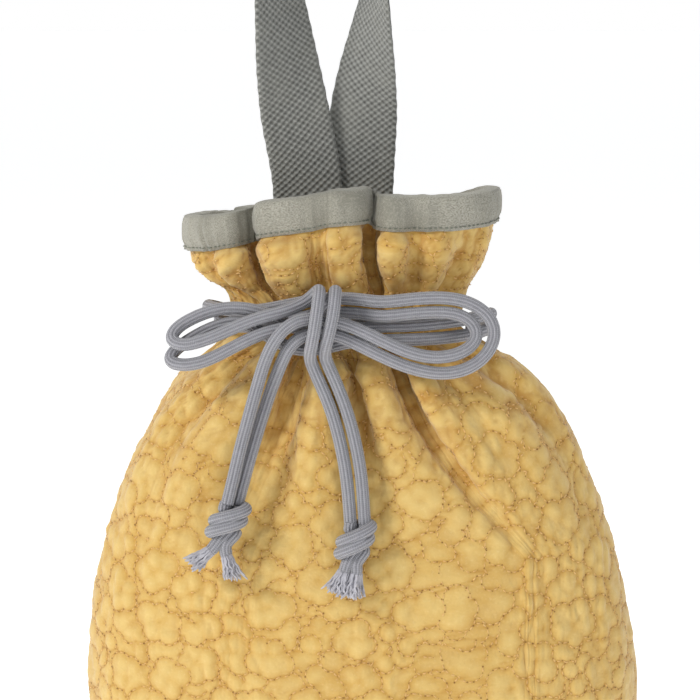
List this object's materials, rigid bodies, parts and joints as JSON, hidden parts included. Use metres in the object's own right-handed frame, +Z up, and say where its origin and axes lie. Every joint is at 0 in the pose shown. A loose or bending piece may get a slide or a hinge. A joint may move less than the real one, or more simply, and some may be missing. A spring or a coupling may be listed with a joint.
{
  "type": "drawstring pouch",
  "caption": "Soft quilted cotton pouch with a bound frilled mouth, gathered neck with cords tied in a bow, and a webbing carry loop.",
  "frame": {"origin": "middle of the flat base, at the height of the surface that the pouch stands on", "axes": "+Z up, the front with the bow faces -Y, +X to the right seen from the front"},
  "size_m": [0.242, 0.113, 0.4385],
  "materials": {
    "quilted_cotton": "matte mustard cotton, stitched through thin wadding",
    "grey_green_cotton": "matte plain cotton",
    "grey_webbing": "matte ribbed webbing",
    "casing_tape_cotton": "matte plain cotton",
    "grey_cord": "matte knitted cord"
  },
  "bodies": {
    "root": {"front_panel": "quilted_cotton", "back_panel": "quilted_cotton", "mouth_binding": "grey_green_cotton", "front_casing": "casing_tape_cotton", "back_casing": "casing_tape_cotton", "handle_strap": "grey_webbing", "left_cord_casing_run": "grey_cord", "right_cord_casing_run": "grey_cord", "left_upper_strand": "grey_cord", "left_lower_strand": "grey_cord", "right_upper_strand": "grey_cord", "right_lower_strand": "grey_cord", "left_tail_knot": "grey_cord", "right_tail_knot": "grey_cord"}
  },
  "joints": []
}
